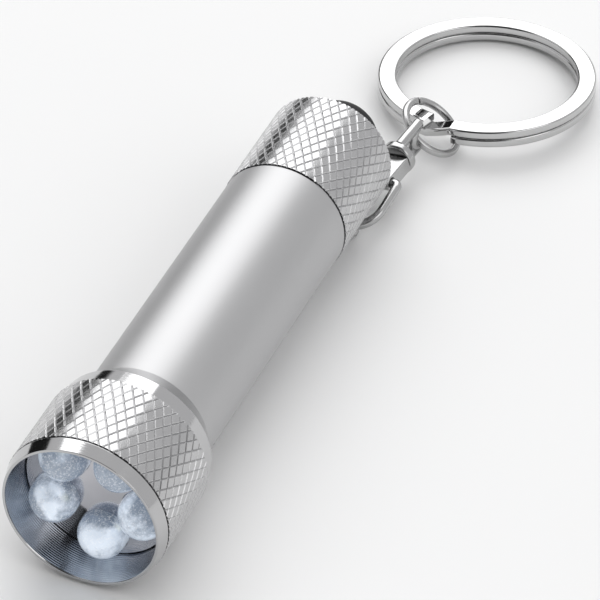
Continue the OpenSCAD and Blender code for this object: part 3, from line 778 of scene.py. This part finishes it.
def make_split_ring():
    """Flat wire with rounded edges: a lower turn, a step, and an upper turn."""
    bm = bmesh.new()
    low = -RING_T - 0.02
    r0, r1 = RING_R - RING_W / 2, RING_R + RING_W / 2
    outline = rounded([(r0, low), (r1, low), (r1, low + RING_T), (r0, low + RING_T)], 0.30, steps=6)
    section = bm.faces.new([bm.verts.new((p[0], 0, p[1])) for p in outline])
    axis = (0, 0, 1)
    first = math.radians(1)
    bmesh.ops.rotate(bm, cent=(0, 0, 0), matrix=Matrix.Rotation(first, 3, "Z"), verts=bm.verts)
    turn = math.radians(345)
    end = swing(bm, [section], (0, 0, 0), axis, turn, 230)
    end = swing(bm, end, (0, 0, 0), axis, math.radians(14), 14, Vector((0, 0, RING_RISE)))
    swing(bm, end, (0, 0, 0), axis, turn, 230)
    heading = math.radians(22.9)
    forward = Vector((math.cos(heading), math.sin(heading), 0))
    place = ring_frame(RING_CENTRE, RING_Z, forward) @ Matrix.Rotation(math.radians(248), 4, "Z")
    bmesh.ops.transform(bm, matrix=place, verts=bm.verts)
    finish_piece("flat_split_ring", bm, "keyring", [RING_NICKEL], ["split_ring"])


make_body()
make_led_plate()
for number in range(LED_COUNT):
    make_led(number)
make_led_insides()
make_tail_cap()
make_button()
make_lug()
make_bail()
make_swivel_block()
make_swivel_rivet()
make_swivel_eye()
make_jump_ring()
make_split_ring()

# ---------------------------------------------------------------- CAD nodes that keep their shape
KEPT = {
    "led_holder": BLACK_PLASTIC, "switch_housing": BLACK_PLASTIC, "resistor": BLACK_PLASTIC,
    "circuit_board": BOARD_GREEN, "positive_contact": BRASS, "switch_rivet": BRASS,
    "fixed_contact": BRASS, "moving_contact": BRASS, "insulating_sleeve": WHITE_PLASTIC,
    "switch_plunger": WHITE_PLASTIC, "cell_1": CELL_STEEL, "cell_2": CELL_STEEL,
    "cell_3": CELL_STEEL, "cell_4": CELL_STEEL, "cell_seals": BLACK_RUBBER,
    "sealing_ring": BLACK_RUBBER, "battery_spring": SPRING_STEEL, "switch_spring": SPRING_STEEL,
}
for name, finish in KEPT.items():
    for slot in NODES[name].material_slots:
        slot.material = finish

# ---------------------------------------------------------------- floor, light and camera


def direction(azimuth, elevation):
    """Unit vector towards a place seen from the object: azimuth 0 is -Y, 90 is +X."""
    a, e = math.radians(azimuth), math.radians(elevation)
    return Vector((math.sin(a) * math.cos(e), -math.cos(a) * math.cos(e), math.sin(e)))


MIDDLE = Vector((0.006, 0.035, 0))
AIM = Vector((10.026, 30, 7.308)) * MM
CAMERA_AZIMUTH = 22.893
CAMERA_ELEVATION = 39.491
CAMERA_DISTANCE = 0.459877
LENS = 282

floor_mesh = bmesh.new()
bmesh.ops.create_grid(floor_mesh, x_segments=1, y_segments=1, size=3)
bmesh.ops.translate(floor_mesh, vec=(0, 0, FLOOR_Z * MM), verts=floor_mesh.verts)
mesh = bpy.data.meshes.new("floor")
floor_mesh.to_mesh(mesh)
floor_mesh.free()
floor = bpy.data.objects.new("floor", mesh)
bpy.context.scene.collection.objects.link(floor)
pale = Finish("pale floor", Roughness=0.9, Specular_IOR_Level=0.0)
pale.feed(Base_Color=pale.mix(pale.noise(6), (0.83, 0.83, 0.83), (0.85, 0.85, 0.85)))
mesh.materials.append(pale.material)


def panel(name, azimuth, elevation, distance, width, height, radiance, mirrored=True):
    """A soft rectangular light that faces the object, given by what it looks like in a mirror."""
    light = bpy.data.lights.new(name, "AREA")
    light.shape = "RECTANGLE"
    light.size = width
    light.size_y = height
    light.energy = radiance * math.pi * width * height
    lamp = bpy.data.objects.new(name, light)
    lamp.location = MIDDLE + direction(azimuth, elevation) * distance
    lamp.rotation_euler = (-direction(azimuth, elevation)).to_track_quat("-Z", "Y").to_euler()
    lamp.visible_camera = False
    lamp.visible_glossy = mirrored
    bpy.context.scene.collection.objects.link(lamp)


panel("main softbox", -154, 46, 1.2, 1.24, 0.97, 2.05)
panel("low rear strip", -162, 15, 1.2, 0.34, 0.24, 2.0)
panel("front fill", 75, 42, 1.3, 0.9, 0.7, 1.0)
panel("floor fill", 40, 75, 1.4, 1.6, 1.6, 0.8, mirrored=False)


def studio_walls():
    """Grey walls, a black card low on the left, and the unlit side behind the camera."""
    world = bpy.data.worlds.new("studio")
    bpy.context.scene.world = world
    world.use_nodes = True
    m = Maker(world.node_tree, "Generated")

    def near(azimuth, elevation, spread, soft):
        """1 within the spread of that direction, falling to 0 over the soft edge, in degrees."""
        inner, outer = math.cos(math.radians(spread)), math.cos(math.radians(spread + soft))
        facing = m.node("ShaderNodeVectorMath", {"operation": "DOT_PRODUCT"}, m.place,
                        tuple(direction(azimuth, elevation)), out=1)
        return ((facing - outer) / (inner - outer)).clamp()

    low = ((math.sin(math.radians(27)) - m.along("Z")) * 60).clamp()
    card = near(-120, 0, 27, 3) * low
    unlit = (near(0, 45, 32, 8) + near(23, 66, 22, 8)).clamp()
    grey = m.mix(card, (0.74, 0.74, 0.745), (0.015, 0.015, 0.015))
    colour = m.mix(unlit, grey, (0.05, 0.05, 0.05))
    m.tree.links.new(colour.socket, m.tree.nodes["Background"].inputs["Color"])


studio_walls()

scene = bpy.context.scene
scene.view_settings.view_transform = "Standard"
scene.view_settings.look = "None"

camera_data = bpy.data.cameras.new("camera")
camera_data.lens = LENS
camera_data.sensor_width = 36
camera_data.clip_start = 0.01
camera_data.clip_end = 20
camera = bpy.data.objects.new("camera", camera_data)
camera.location = AIM + direction(CAMERA_AZIMUTH, CAMERA_ELEVATION) * CAMERA_DISTANCE
camera.rotation_euler = (AIM - camera.location).to_track_quat("-Z", "Y").to_euler()
scene.collection.objects.link(camera)
scene.camera = camera
